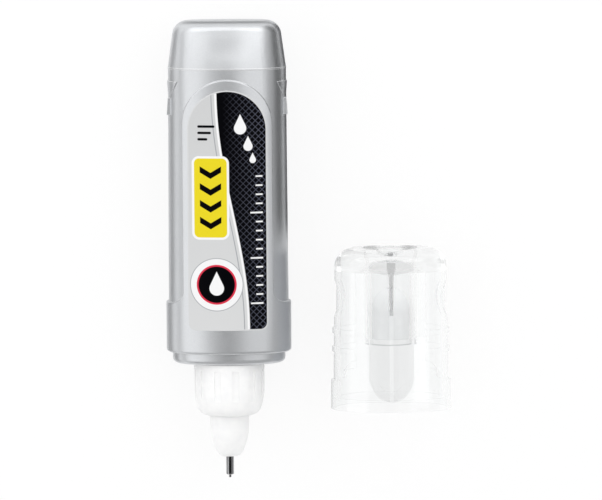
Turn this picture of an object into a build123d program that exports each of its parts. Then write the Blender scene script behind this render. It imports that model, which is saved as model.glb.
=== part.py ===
from build123d import *
import math
import os

# Correction pen lying on its back, with its clear cap taken off and laid beside it.
# Millimetres. X runs from the pen to the cap, Y from the tip to the rear end, Z up from the table.
# A station is a distance along an axis: from the shoulder towards the tip on the pen,
# and from the mouth towards the closed end on the cap.

os.makedirs("parts", exist_ok=True)

# Bottle
BODY_LENGTH = 73.2
SHOULDER_WIDTH = 27.6
BODY_DEPTH = 19.6
SIDE_ROUNDNESS = 0.9
WALL = 1.1
GRIP_STEP_SIDE = 0.5
GRIP_STEP_FRONT = 0.45
GRIP_NARROWING = 0.6
BASE_LENGTH = 10.25
BASE_DRAFT_DEGREES = 7.7
BASE_ROUNDING = 3.3
BASE_FRONT_DRAFT_DEGREES = 3.0
BASE_CROWN = 2.6
SEAM_HEIGHT = 0.06
SEAM_WIDTH = 0.3
SHOULDER_ROUNDING = 0.7
SHOULDER_LEDGE_SIDE = 1.35
SHOULDER_LEDGE_FRONT = 1.15
SPIGOT_LENGTH = 2.45
SPIGOT_ROUNDING = 1.15

# Raised label panel, and the ramps and catches on the sides
PANEL_HALF_WIDTH = 9.95
PANEL_TOP = 60.6
PANEL_FLARE_END = 11.2
PANEL_FLARE_RADIUS = 2.8
PANEL_EDGE_ROUNDING = 0.3
RAMP_TOP = 59.95
RAMP_LENGTH = 3.4
RAMP_WIDTH = 1.95
RAMP_FOOT = 0.5
RAMP_RISE = 0.2
CATCH_STATION = 52.55
CATCH_LENGTH = 3.7
CATCH_RISE = 0.25
CATCH_WIDTH = 6.0
CATCH_ROOT = 1.0

# Label
LABEL_MARGIN = 1.2
LABEL_TOP = 58.3
LABEL_BOTTOM = 5.4
LABEL_CORNER = 1.7
LABEL_THICKNESS = 0.09
LABEL_GLUE = 0.02

# Neck and collar
NECK_RADIUS = 5.5
NECK_WALL = 1.2
NECK_LENGTH = 7.95
BEAD_STATION = 8.0
BEAD_HEIGHT = 0.25
BEAD_ROOT = 0.3
BEAD_FLAT = 0.3
BEAD_STEEP = 0.5
BEAD_LEAD = 0.8
BEAD_ROOM = 0.15
COLLAR_RADIUS = 7.75
COLLAR_TAPER = 0.7
COLLAR_EDGE = 0.2
COLLAR_FIT = 0.1
COLLAR_END_WALL = 2.05
COLLAR_TAPER_LENGTH = 4.5
COLLAR_ROUND_LENGTH = 1.75
COLLAR_MOUTH = 0.1
COLLAR_RIM = 0.15
FLUTE_COUNT = 12
FLUTE_PHASE_DEGREES = 11.0
FLUTE_WIDTH = 1.55
FLUTE_DEPTH = 0.34
FLUTE_START = 4.0
FLUTE_LENGTH = 6.7
GASKET_THICKNESS = 0.8
GASKET_EDGE = 0.15
GASKET_FIT = 0.05
FACE_GAP = 0.02

# Cone
FLANGE_THICKNESS = 1.0
FLANGE_FIT = 0.1
CONE_ROOT_RADIUS = 4.38
CONE_LENGTH = 9.25
CONE_WAIST_RADIUS = 4.27
CONE_WAIST_LENGTH = 6.6
CONE_NOSE_RADIUS = 2.95
CONE_NOSE_LENGTH = 1.1
CONE_TIP_RADIUS = 1.3
PLUG_FIT = 0.1
PLUG_LENGTH = 4.4
CHAMBER_RADIUS = 2.3
CHAMBER_CONE_LENGTH = 1.8
CHAMBER_EXIT = 0.1
RETAINER_RADIUS = 3.2
RETAINER_FIT = 0.02
RETAINER_THICKNESS = 2.2
RETAINER_PORT_RADIUS = 0.7
RETAINER_PORT_CIRCLE = 1.9

# Steel tip and valve
TUBE_RADIUS = 0.85
TUBE_BORE_RADIUS = 0.5
TUBE_STICK_OUT = 4.1
TUBE_HELD_LENGTH = 4.7
TUBE_FIT = 0.01
TUBE_EDGE = 0.15
ORIFICE_RADIUS = 0.34
ORIFICE_LENGTH = 0.5
NEEDLE_FIT = 0.1
NEEDLE_PIN_FIT = 0.07
NEEDLE_STICK_OUT = 0.7
NEEDLE_EDGE = 0.1
NEEDLE_TAIL_GAP = 1.6
SEAT_SLOPE = 0.55
SEAT_GAP = 0.03
HEAD_LENGTH = 2.7
HEAD_FIT = 0.1
HEAD_PRESS_GAP = 0.01
HEAD_FLUTE = 0.9
HEAD_ROOM = 0.9
SPRING_WIRE_RADIUS = 0.16
SPRING_COIL_RADIUS = 1.35
SPRING_TURNS = 5.5
SPRING_END_GAP = 0.05

# Mixing balls
BALL_RADIUS = 2.0
BALL_REST_GAP = 0.2
FRONT_BALL_STATION = 17.0
REAR_BALL_STATION = 24.0

# Cap
CAP_FIT = 0.1
CAP_LIP = 0.75
CAP_FRONT_LIP = 1.0
CAP_LIP_GAP = 0.15
CAP_WALL = 1.15
CAP_FRONT_WALL = 1.65
CAP_DRAFT_DEGREES = 0.75
CAP_GRIP_STEP = 0.5
CAP_TOP_ROUNDING = 4.2
CAP_BAND = 6.4
CAP_PANEL_HALF_WIDTH = 8.4
CAP_PANEL_FLARE = 3.2
CHANNEL_HALF_WIDTH = 5.0
CHANNEL_START = 2.2
CHANNEL_BEND = 6.0
CHANNEL_DEPTH = 0.66
CAP_RIB_STATIONS = (13.3, 17.4)
CAP_RIB_THICKNESS = 1.1
CAP_RIB_HEIGHT = 0.35
DIMPLE_STATION = 24.5
DIMPLE_RADIUS = 4.1
DIMPLE_DEPTH = 0.45
DISH_RADIUS = 6.2
DISH_FLOOR_RADIUS = 3.7
DISH_DEPTH = 2.8
BOSS_RADIUS = 2.8
BOSS_DROP = 0.3
ROOF_CLEARANCE = 2.3
ROOF_THICKNESS = 2.2
CEILING_BULGE = 1.1
SLEEVE_RADIUS = 5.6
INNER_RIB_SINK = 0.4
INNER_RIB_TOP_RADIUS = 0.55
INNER_RIB_STEP_RADIUS = 0.45
INNER_RIB_LENGTH = 8.2
INNER_LINE_HALF_WIDTH = 0.3
INNER_LINE_HEIGHT = 0.14
INNER_LINE_GAP = 0.5

# Cap seal
SEAL_RADIUS = 5.0
SEAL_FIT = 0.03
SEAL_CLEARANCE = 0.1
SEAL_FLANGE_RADIUS = 5.45
SEAL_FLANGE_THICKNESS = 1.3
SEAL_GAP = 0.1
SEAL_MOUTH = 0.5
SEAL_MOUTH_LENGTH = 0.6
SEAL_TOP_WALL = 3.1
SEAL_DOME_HEIGHT = 4.7
SEAL_FLAT_RADIUS = 1.9
SEAL_HOLE_RADIUS = 1.2

# Distance between the two axes as they lie on the table, and how far the mouth lies beyond the shoulder
CAP_APART = 35.8
CAP_MOUTH_STATION = 13.0

# How far a cutting shape runs past what it cuts, and how closely an edge is matched
OVERSHOOT = 1.0
EDGE_TOLERANCE = 0.05

# Stations that follow from the sizes above
SPIGOT_WIDTH = SHOULDER_WIDTH - 2 * SHOULDER_LEDGE_SIDE
SPIGOT_DEPTH = BODY_DEPTH - 2 * SHOULDER_LEDGE_FRONT
GRIP_WIDTH = SHOULDER_WIDTH - 2 * GRIP_STEP_SIDE
GRIP_DEPTH = BODY_DEPTH - 2 * GRIP_STEP_FRONT
SEAM_STATION = BASE_LENGTH - BODY_LENGTH
SEAM_GRIP_WIDTH = GRIP_WIDTH - GRIP_NARROWING
NECK_BORE_RADIUS = NECK_RADIUS - NECK_WALL
NECK_END = SPIGOT_LENGTH + NECK_LENGTH
PLUG_RADIUS = NECK_BORE_RADIUS - PLUG_FIT
FLANGE_START = NECK_END + GASKET_THICKNESS
FLANGE_END = FLANGE_START + FLANGE_THICKNESS
COLLAR_START = SPIGOT_LENGTH + FACE_GAP
COLLAR_BORE_RADIUS = NECK_RADIUS + COLLAR_FIT
COLLAR_WALL_FACE = FLANGE_END + FACE_GAP
COLLAR_END = COLLAR_WALL_FACE + COLLAR_END_WALL
CONE_END = COLLAR_END + CONE_LENGTH
CONE_WAIST = CONE_END - CONE_WAIST_LENGTH
CONE_NOSE = CONE_END - CONE_NOSE_LENGTH
CONE_SLOPE = (CONE_WAIST_RADIUS - CONE_ROOT_RADIUS, CONE_WAIST - COLLAR_END)
PLUG_START = FLANGE_START - PLUG_LENGTH
RETAINER_END = PLUG_START + RETAINER_THICKNESS
TUBE_START = CONE_END - TUBE_HELD_LENGTH
TUBE_END = CONE_END + TUBE_STICK_OUT
NEEDLE_END = TUBE_END + NEEDLE_STICK_OUT
NEEDLE_RADIUS = TUBE_BORE_RADIUS - NEEDLE_FIT
NEEDLE_PIN_RADIUS = ORIFICE_RADIUS - NEEDLE_PIN_FIT
SEAT_END = TUBE_END - ORIFICE_LENGTH
SEAT_START = SEAT_END - (TUBE_BORE_RADIUS - ORIFICE_RADIUS) / SEAT_SLOPE
CHAMBER_END = TUBE_START - CHAMBER_CONE_LENGTH
HEAD_END = CHAMBER_END - HEAD_ROOM
HEAD_START = HEAD_END - HEAD_LENGTH

CAP_WIDTH = SPIGOT_WIDTH + 2 * (CAP_FIT + CAP_LIP)
CAP_DEPTH = SPIGOT_DEPTH + 2 * (CAP_FIT + CAP_FRONT_LIP)
CAP_GRIP_WIDTH = CAP_WIDTH - 2 * CAP_GRIP_STEP
CAP_GRIP_DEPTH = CAP_DEPTH - 2 * CAP_GRIP_STEP
ROOF = NEEDLE_END + ROOF_CLEARANCE
DISH_FLOOR = ROOF + ROOF_THICKNESS
CAP_HEIGHT = DISH_FLOOR + DISH_DEPTH
LIP_DEPTH = SPIGOT_LENGTH + CAP_LIP_GAP
SEAL_START = COLLAR_END + SEAL_GAP
SEAL_FLANGE_END = SEAL_START + SEAL_FLANGE_THICKNESS
SEAL_TOP = CONE_END + SEAL_TOP_WALL
SEAL_SHOULDER = SEAL_TOP - SEAL_DOME_HEIGHT
INNER_FACE = CAP_DEPTH / 2 - CAP_FRONT_WALL
INNER_RIB_STEP = ROOF - INNER_RIB_LENGTH
INNER_LINE_START = LIP_DEPTH + INNER_LINE_GAP

# The pen and the cap on the table: the origin is under the middle of the two together
PEN_X = (SHOULDER_WIDTH / 2 - CAP_WIDTH / 2 - CAP_APART) / 2
CAP_X = PEN_X + CAP_APART
SHOULDER_Y = (NEEDLE_END - BODY_LENGTH) / 2
MOUTH_Y = SHOULDER_Y - CAP_MOUTH_STATION
PEN_Z = BODY_DEPTH / 2
CAP_Z = CAP_DEPTH / 2

# Across the pen, seen from the rear end: X to the right, Z up, stations running away
PEN = Plane(origin=(PEN_X, SHOULDER_Y, PEN_Z), x_dir=(1, 0, 0), z_dir=(0, -1, 0))
# Along the pen, seen from below: X and stations
PEN_FLAT = Plane(origin=(PEN_X, SHOULDER_Y, PEN_Z), x_dir=(1, 0, 0), z_dir=(0, 0, -1))
PEN_AXIS = Axis((PEN_X, SHOULDER_Y, PEN_Z), (0, -1, 0))
# The same for the cap, whose stations run the other way, and its middle plane: stations and Z
CAP = Plane(origin=(CAP_X, MOUTH_Y, CAP_Z), x_dir=(-1, 0, 0), z_dir=(0, 1, 0))
CAP_FLAT = Plane(origin=(CAP_X, MOUTH_Y, CAP_Z), x_dir=(1, 0, 0), z_dir=(0, 0, 1))
CAP_SIDE = Plane(origin=(CAP_X, MOUTH_Y, CAP_Z), x_dir=(0, 1, 0), z_dir=(1, 0, 0))
CAP_AXIS = Axis((CAP_X, MOUTH_Y, CAP_Z), (0, 1, 0))


def oval(width, depth):
    """Oval of four arcs, used for every cross-section of the bottle and the cap."""
    half_width = width / 2
    half_depth = depth / 2
    side = SIDE_ROUNDNESS * half_depth
    front = ((half_width - side) ** 2 + half_depth**2 - side**2) / (2 * (half_depth - side))
    turn = math.atan2(half_width - side, front - half_depth)
    x = front * math.sin(turn)
    y = half_depth - front + front * math.cos(turn)
    with BuildLine() as outline:
        ThreePointArc((-x, y), (0, half_depth), (x, y))
        ThreePointArc((x, y), (half_width, 0), (x, -y))
        ThreePointArc((x, -y), (0, -half_depth), (-x, -y))
        ThreePointArc((-x, -y), (-half_width, 0), (-x, y))
    make_face(outline.edges())


def profile(points):
    """Closed outline with straight sides."""
    with BuildLine() as outline:
        Polyline(*points, close=True)
    make_face(outline.edges())


def rod(plane, radius, length):
    """Round bar from a plane, as a loose solid."""
    with BuildPart(mode=Mode.PRIVATE) as bar:
        with BuildSketch(plane):
            Circle(radius)
        extrude(amount=length)
    return bar.part


def oval_bar(plane, width, depth, length, draft=0.0):
    """Bar with an oval section, as a loose solid. A draft above 0 narrows it towards its far end."""
    with BuildPart(mode=Mode.PRIVATE) as bar:
        with BuildSketch(plane):
            oval(width, depth)
        extrude(amount=length, taper=draft)
    return bar.part


def grip_width(station):
    """Width of the bottle beside the label panel, which falls evenly from the shoulder to the seam."""
    return GRIP_WIDTH - GRIP_NARROWING * station / SEAM_STATION


def grip_bar(inset, end):
    """Body of the bottle from the seam to a station, as a loose solid, drawn in by an inset."""
    with BuildPart(mode=Mode.PRIVATE) as bar:
        for station in (SEAM_STATION, end):
            with BuildSketch(PEN.offset(station)):
                oval(grip_width(station) - 2 * inset, GRIP_DEPTH - 2 * inset)
        loft()
    return bar.part


def base_end(inset):
    """Domed rear end of the bottle from the seam on, as a loose solid, drawn in by an inset."""
    with BuildPart(mode=Mode.PRIVATE) as dome:
        for share in (0, 0.5, 1):
            along = share * (BASE_LENGTH - inset)
            narrowing = inset + along * math.tan(math.radians(BASE_DRAFT_DEGREES))
            crown = BASE_CROWN * (along / BASE_LENGTH) ** 2
            thinning = inset + crown + along * math.tan(math.radians(BASE_FRONT_DRAFT_DEGREES))
            with BuildSketch(PEN.offset(SEAM_STATION - along)):
                oval(SEAM_GRIP_WIDTH - 2 * narrowing, GRIP_DEPTH - 2 * thinning)
        loft()
        fillet(dome.faces().sort_by(Axis.Y)[-1].edges(), radius=BASE_ROUNDING - inset)
    return dome.part


def on_panel_edge(edge):
    """Whether an edge of the label panel runs along its raised outline."""
    middle = edge @ 0.5
    along = middle.Y - SHOULDER_Y
    beside = abs(middle.X - PEN_X) > PANEL_HALF_WIDTH - EDGE_TOLERANCE
    in_arch = along > PANEL_TOP - PANEL_HALF_WIDTH
    return along > PANEL_FLARE_END - EDGE_TOLERANCE and (beside or in_arch)


# Label panel: the full section, kept inside an arch that spreads to the whole width at the shoulder
with BuildPart() as label_panel:
    with BuildSketch(PEN.offset(SEAM_STATION)):
        oval(SHOULDER_WIDTH, BODY_DEPTH)
    extrude(amount=-SEAM_STATION)
    fillet(label_panel.faces().sort_by(Axis.Y)[0].edges(), radius=SHOULDER_ROUNDING)
    with BuildSketch(PEN_FLAT):
        with BuildLine():
            reach = SHOULDER_WIDTH
            flare_start = -PANEL_FLARE_END - PANEL_FLARE_RADIUS
            flare_out = PANEL_HALF_WIDTH + PANEL_FLARE_RADIUS
            arch_side = PANEL_HALF_WIDTH - PANEL_TOP
            ThreePointArc((-PANEL_HALF_WIDTH, arch_side), (0, -PANEL_TOP), (PANEL_HALF_WIDTH, arch_side))
            Line((PANEL_HALF_WIDTH, arch_side), (PANEL_HALF_WIDTH, flare_start))
            RadiusArc((PANEL_HALF_WIDTH, flare_start), (flare_out, -PANEL_FLARE_END), PANEL_FLARE_RADIUS)
            Polyline(
                (flare_out, -PANEL_FLARE_END),
                (reach, -PANEL_FLARE_END),
                (reach, OVERSHOOT),
                (-reach, OVERSHOOT),
                (-reach, -PANEL_FLARE_END),
                (-flare_out, -PANEL_FLARE_END),
            )
            RadiusArc((-flare_out, -PANEL_FLARE_END), (-PANEL_HALF_WIDTH, flare_start), PANEL_FLARE_RADIUS)
            Line((-PANEL_HALF_WIDTH, flare_start), (-PANEL_HALF_WIDTH, arch_side))
        make_face()
    extrude(amount=BODY_DEPTH, both=True, mode=Mode.INTERSECT)
    rim = label_panel.edges().filter_by(Axis.Z, reverse=True).filter_by(on_panel_edge)
    fillet(rim, radius=PANEL_EDGE_ROUNDING)

# Side ramps: a ledge that faces the rear end, with a slope that runs out into the grip
with BuildPart() as side_ramps:
    ramp_width = grip_width(-RAMP_TOP)
    with BuildSketch(PEN.offset(-RAMP_TOP)):
        oval(ramp_width + 2 * RAMP_RISE, GRIP_DEPTH + 2 * RAMP_RISE)
    extrude(amount=RAMP_LENGTH, taper=math.degrees(math.atan2(RAMP_RISE, RAMP_LENGTH)))
    with BuildSketch(PEN_FLAT):
        for side in (-1, 1):
            edge = side * ramp_width / 2
            profile(
                [
                    (edge - side * RAMP_WIDTH, -RAMP_TOP),
                    (edge + side * OVERSHOOT, -RAMP_TOP),
                    (edge + side * OVERSHOOT, RAMP_LENGTH - RAMP_TOP),
                    (edge - side * RAMP_FOOT, RAMP_LENGTH - RAMP_TOP),
                ]
            )
    extrude(amount=BODY_DEPTH, both=True, mode=Mode.INTERSECT)

# Catches below the ramps: a slope that rises towards the tip and ends in a step
with BuildPart() as side_catches:
    with BuildSketch(PEN_FLAT):
        for side in (-1, 1):
            edge = side * grip_width(-CATCH_STATION) / 2
            profile(
                [
                    (edge - side * CATCH_ROOT, -CATCH_STATION - CATCH_LENGTH),
                    (edge, -CATCH_STATION - CATCH_LENGTH),
                    (edge + side * CATCH_RISE, -CATCH_STATION),
                    (edge - side * CATCH_ROOT, -CATCH_STATION),
                ]
            )
    extrude(amount=CATCH_WIDTH / 2, both=True)

# Bottle
base_outside = base_end(0)
base_inside = base_end(WALL)
with BuildPart() as bottle:
    add(grip_bar(0, 0))
    add(base_outside)
    with BuildSketch(PEN.offset(SEAM_STATION)):
        oval(SEAM_GRIP_WIDTH + 2 * SEAM_HEIGHT, GRIP_DEPTH + 2 * SEAM_HEIGHT)
    extrude(amount=SEAM_WIDTH)
    add(side_ramps.part)
    add(side_catches.part)
    add(label_panel.part)
    with BuildSketch(PEN):
        oval(SPIGOT_WIDTH, SPIGOT_DEPTH)
    extrude(amount=SPIGOT_LENGTH)
    fillet(bottle.faces().sort_by(Axis.Y)[0].edges(), radius=SPIGOT_ROUNDING)
    with BuildSketch(PEN.offset(SPIGOT_LENGTH)):
        Circle(NECK_RADIUS)
    extrude(amount=NECK_LENGTH)
    with BuildSketch(PEN_FLAT):
        profile(
            [
                (NECK_RADIUS - BEAD_ROOT, BEAD_STATION - BEAD_FLAT - BEAD_STEEP),
                (NECK_RADIUS, BEAD_STATION - BEAD_FLAT - BEAD_STEEP),
                (NECK_RADIUS + BEAD_HEIGHT, BEAD_STATION - BEAD_FLAT),
                (NECK_RADIUS + BEAD_HEIGHT, BEAD_STATION),
                (NECK_RADIUS, BEAD_STATION + BEAD_LEAD),
                (NECK_RADIUS - BEAD_ROOT, BEAD_STATION + BEAD_LEAD),
            ]
        )
    revolve(axis=PEN_AXIS)
    add(grip_bar(WALL, -WALL), mode=Mode.SUBTRACT)
    add(base_inside, mode=Mode.SUBTRACT)
    with BuildSketch(PEN.offset(-WALL - OVERSHOOT)):
        oval(SPIGOT_WIDTH - 2 * WALL, SPIGOT_DEPTH - 2 * WALL)
    extrude(amount=SPIGOT_LENGTH + OVERSHOOT, mode=Mode.SUBTRACT)
    with BuildSketch(PEN):
        Circle(NECK_BORE_RADIUS)
    extrude(amount=NECK_END + OVERSHOOT, mode=Mode.SUBTRACT)

# Front label: a thin sheet over the panel
label_under = oval_bar(
    PEN.offset(SEAM_STATION - OVERSHOOT),
    SHOULDER_WIDTH + 2 * LABEL_GLUE,
    BODY_DEPTH + 2 * LABEL_GLUE,
    2 * OVERSHOOT - SEAM_STATION,
)
label_out = LABEL_GLUE + LABEL_THICKNESS
with BuildPart() as front_label:
    with BuildSketch(PEN.offset(SEAM_STATION)):
        oval(SHOULDER_WIDTH + 2 * label_out, BODY_DEPTH + 2 * label_out)
    extrude(amount=-SEAM_STATION)
    add(label_under, mode=Mode.SUBTRACT)
    with BuildSketch(PEN_FLAT):
        label_half = PANEL_HALF_WIDTH - LABEL_MARGIN
        label_arch = label_half - LABEL_TOP
        label_square = -LABEL_BOTTOM - LABEL_CORNER
        label_foot = label_half - LABEL_CORNER
        with BuildLine():
            ThreePointArc((-label_half, label_arch), (0, -LABEL_TOP), (label_half, label_arch))
            Line((label_half, label_arch), (label_half, label_square))
            TangentArc((label_half, label_square), (label_foot, -LABEL_BOTTOM), tangent=(0, 1))
            Line((label_foot, -LABEL_BOTTOM), (-label_foot, -LABEL_BOTTOM))
            TangentArc((-label_half, label_square), (-label_foot, -LABEL_BOTTOM), tangent=(0, 1))
            Line((-label_half, label_square), (-label_half, label_arch))
        make_face()
    extrude(amount=-BODY_DEPTH, mode=Mode.INTERSECT)

# Collar: a snap ring over the neck, with flutes and a rounded end
collar_low = COLLAR_RADIUS - COLLAR_TAPER
collar_round = COLLAR_END - COLLAR_ROUND_LENGTH
collar_bend = collar_round - COLLAR_TAPER_LENGTH
collar_mouth = CONE_ROOT_RADIUS + COLLAR_MOUTH
with BuildPart() as nozzle_collar:
    with BuildSketch(PEN_FLAT):
        with BuildLine():
            Polyline(
                (COLLAR_BORE_RADIUS, COLLAR_START),
                (COLLAR_RADIUS - COLLAR_EDGE, COLLAR_START),
                (COLLAR_RADIUS, COLLAR_START + COLLAR_EDGE),
                (COLLAR_RADIUS, collar_bend),
            )
            collar_side = TangentArc((COLLAR_RADIUS, collar_bend), (collar_low, collar_round), tangent=(0, 1))
            TangentArc(
                (collar_low, collar_round), (collar_mouth + COLLAR_RIM, COLLAR_END), tangent=collar_side % 1
            )
            Polyline(
                (collar_mouth + COLLAR_RIM, COLLAR_END),
                (collar_mouth, COLLAR_END),
                (collar_mouth, COLLAR_WALL_FACE),
                (COLLAR_BORE_RADIUS, COLLAR_WALL_FACE),
                (COLLAR_BORE_RADIUS, BEAD_STATION + BEAD_LEAD + BEAD_ROOM),
                (COLLAR_BORE_RADIUS + BEAD_HEIGHT, BEAD_STATION + BEAD_ROOM),
                (COLLAR_BORE_RADIUS + BEAD_HEIGHT, BEAD_STATION - BEAD_FLAT - BEAD_ROOM),
                (COLLAR_BORE_RADIUS, BEAD_STATION - BEAD_FLAT - BEAD_STEEP - BEAD_ROOM),
                (COLLAR_BORE_RADIUS, COLLAR_START),
            )
        make_face()
    revolve(axis=PEN_AXIS)
    for number in range(FLUTE_COUNT):
        angle = math.radians(FLUTE_PHASE_DEGREES + 360 * number / FLUTE_COUNT)
        out = Vector(math.sin(angle), 0, math.cos(angle))
        middle = Vector(PEN_X, SHOULDER_Y - FLUTE_START - FLUTE_LENGTH / 2, PEN_Z)
        floor = Plane(origin=middle + out * (COLLAR_RADIUS - FLUTE_DEPTH), x_dir=(0, 1, 0), z_dir=out)
        with BuildSketch(floor):
            Rectangle(FLUTE_LENGTH, FLUTE_WIDTH)
        extrude(amount=FLUTE_DEPTH + OVERSHOOT, mode=Mode.SUBTRACT)

# Gasket between the neck and the flange
with BuildPart() as neck_gasket:
    with BuildSketch(PEN.offset(NECK_END + FACE_GAP)):
        Circle(NECK_RADIUS - GASKET_EDGE)
        Circle(PLUG_RADIUS + GASKET_FIT, mode=Mode.SUBTRACT)
    extrude(amount=GASKET_THICKNESS - 2 * FACE_GAP)

# Cone: a plug in the neck, a flange under the collar, and the rounded nose with the valve chamber inside
with BuildPart() as nozzle_cone:
    with BuildSketch(PEN_FLAT):
        with BuildLine():
            Polyline(
                (RETAINER_RADIUS, PLUG_START),
                (PLUG_RADIUS, PLUG_START),
                (PLUG_RADIUS, FLANGE_START),
                (NECK_RADIUS - FLANGE_FIT, FLANGE_START),
                (NECK_RADIUS - FLANGE_FIT, FLANGE_END),
                (CONE_ROOT_RADIUS, FLANGE_END),
                (CONE_ROOT_RADIUS, COLLAR_END),
                (CONE_WAIST_RADIUS, CONE_WAIST),
            )
            cone_side = TangentArc(
                (CONE_WAIST_RADIUS, CONE_WAIST), (CONE_NOSE_RADIUS, CONE_NOSE), tangent=CONE_SLOPE
            )
            TangentArc((CONE_NOSE_RADIUS, CONE_NOSE), (CONE_TIP_RADIUS, CONE_END), tangent=cone_side % 1)
            Polyline(
                (CONE_TIP_RADIUS, CONE_END),
                (TUBE_RADIUS + TUBE_FIT, CONE_END),
                (TUBE_RADIUS + TUBE_FIT, TUBE_START - FACE_GAP),
                (TUBE_BORE_RADIUS + CHAMBER_EXIT, TUBE_START - FACE_GAP),
                (CHAMBER_RADIUS, CHAMBER_END),
                (CHAMBER_RADIUS, RETAINER_END + FACE_GAP),
                (RETAINER_RADIUS, RETAINER_END + FACE_GAP),
                (RETAINER_RADIUS, PLUG_START),
            )
        make_face()
    revolve(axis=PEN_AXIS)

# Steel tube with a seat at its end
with BuildPart() as tip_tube:
    with BuildSketch(PEN_FLAT):
        profile(
            [
                (TUBE_BORE_RADIUS, TUBE_START),
                (TUBE_RADIUS, TUBE_START),
                (TUBE_RADIUS, TUBE_END - TUBE_EDGE),
                (TUBE_RADIUS - TUBE_EDGE, TUBE_END),
                (ORIFICE_RADIUS, TUBE_END),
                (ORIFICE_RADIUS, SEAT_END),
                (TUBE_BORE_RADIUS, SEAT_START),
            ]
        )
    revolve(axis=PEN_AXIS)

# Needle: a fine pin through the tube's end, a shaft in the bore and a tail behind the head
cone_start = SEAT_START + (TUBE_BORE_RADIUS - SEAT_GAP - NEEDLE_RADIUS) / SEAT_SLOPE
cone_stop = SEAT_START + (TUBE_BORE_RADIUS - SEAT_GAP - NEEDLE_PIN_RADIUS) / SEAT_SLOPE
needle_tail = RETAINER_END + NEEDLE_TAIL_GAP
with BuildPart() as valve_needle:
    with BuildSketch(PEN_FLAT):
        profile(
            [
                (0, needle_tail),
                (NEEDLE_RADIUS, needle_tail),
                (NEEDLE_RADIUS, cone_start),
                (NEEDLE_PIN_RADIUS, cone_stop),
                (NEEDLE_PIN_RADIUS, NEEDLE_END - NEEDLE_EDGE),
                (NEEDLE_PIN_RADIUS - NEEDLE_EDGE, NEEDLE_END),
                (0, NEEDLE_END),
            ]
        )
    revolve(axis=PEN_AXIS)

# Head: a guide with four flutes, pressed on the needle
head_radius = CHAMBER_RADIUS - HEAD_FIT
with BuildPart() as needle_head:
    with BuildSketch(PEN.offset(HEAD_START)):
        Circle(head_radius)
        Circle(NEEDLE_RADIUS + HEAD_PRESS_GAP, mode=Mode.SUBTRACT)
        with PolarLocations(head_radius, 4):
            Circle(HEAD_FLUTE / 2, mode=Mode.SUBTRACT)
    extrude(amount=HEAD_LENGTH)

# Spring behind the head, as one round wire along a helix
spring_start = RETAINER_END + SPRING_WIRE_RADIUS + SPRING_END_GAP
spring_height = HEAD_START - RETAINER_END - 2 * (SPRING_WIRE_RADIUS + SPRING_END_GAP)
spring_pitch = spring_height / SPRING_TURNS
with BuildPart() as valve_spring:
    with BuildLine() as spring_line:
        Helix(
            pitch=spring_pitch,
            height=spring_height,
            radius=SPRING_COIL_RADIUS,
            center=(PEN_X, SHOULDER_Y - spring_start, PEN_Z),
            direction=(0, -1, 0),
        )
    with BuildSketch(Plane(origin=spring_line.line @ 0, z_dir=spring_line.line % 0)):
        Circle(SPRING_WIRE_RADIUS)
    sweep(path=spring_line.line, is_frenet=True)
print("spring turns apart by", round(spring_pitch - 2 * SPRING_WIRE_RADIUS, 3), "mm")

# Retainer: a plug behind the spring, with three ports for the fluid
with BuildPart() as spring_retainer:
    with BuildSketch(PEN.offset(PLUG_START + FACE_GAP)):
        Circle(RETAINER_RADIUS - RETAINER_FIT)
        with PolarLocations(RETAINER_PORT_CIRCLE, 3):
            Circle(RETAINER_PORT_RADIUS, mode=Mode.SUBTRACT)
        Circle(NEEDLE_RADIUS + NEEDLE_FIT, mode=Mode.SUBTRACT)
    extrude(amount=RETAINER_THICKNESS - FACE_GAP)

# Mixing balls on the floor of the bottle
ball_height = PEN_Z - GRIP_DEPTH / 2 + WALL + BALL_RADIUS + BALL_REST_GAP
with BuildPart() as mixing_ball_front:
    with Locations((PEN_X, SHOULDER_Y + FRONT_BALL_STATION, ball_height)):
        Sphere(BALL_RADIUS)
with BuildPart() as mixing_ball_rear:
    with Locations((PEN_X, SHOULDER_Y + REAR_BALL_STATION, ball_height)):
        Sphere(BALL_RADIUS)

# Cap: the full section for the panels, kept inside a shape that spreads to the whole width at the mouth
with BuildPart() as cap_panel:
    with BuildSketch(CAP):
        oval(CAP_WIDTH, CAP_DEPTH)
    extrude(amount=CAP_HEIGHT, taper=CAP_DRAFT_DEGREES)
    fillet(cap_panel.faces().sort_by(Axis.Y)[-1].edges(), radius=CAP_TOP_ROUNDING)
    with BuildSketch(CAP_FLAT):
        with BuildLine():
            reach = CAP_WIDTH
            top = CAP_HEIGHT + OVERSHOOT
            flare_start = CAP_BAND + CAP_PANEL_FLARE
            flare_out = CAP_PANEL_HALF_WIDTH + CAP_PANEL_FLARE
            Line((-CAP_PANEL_HALF_WIDTH, top), (CAP_PANEL_HALF_WIDTH, top))
            Line((CAP_PANEL_HALF_WIDTH, top), (CAP_PANEL_HALF_WIDTH, flare_start))
            RadiusArc((CAP_PANEL_HALF_WIDTH, flare_start), (flare_out, CAP_BAND), CAP_PANEL_FLARE)
            Polyline(
                (flare_out, CAP_BAND),
                (reach, CAP_BAND),
                (reach, -OVERSHOOT),
                (-reach, -OVERSHOOT),
                (-reach, CAP_BAND),
                (-flare_out, CAP_BAND),
            )
            RadiusArc((-flare_out, CAP_BAND), (-CAP_PANEL_HALF_WIDTH, flare_start), CAP_PANEL_FLARE)
            Line((-CAP_PANEL_HALF_WIDTH, flare_start), (-CAP_PANEL_HALF_WIDTH, top))
        make_face()
    extrude(amount=CAP_DEPTH, both=True, mode=Mode.INTERSECT)

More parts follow.
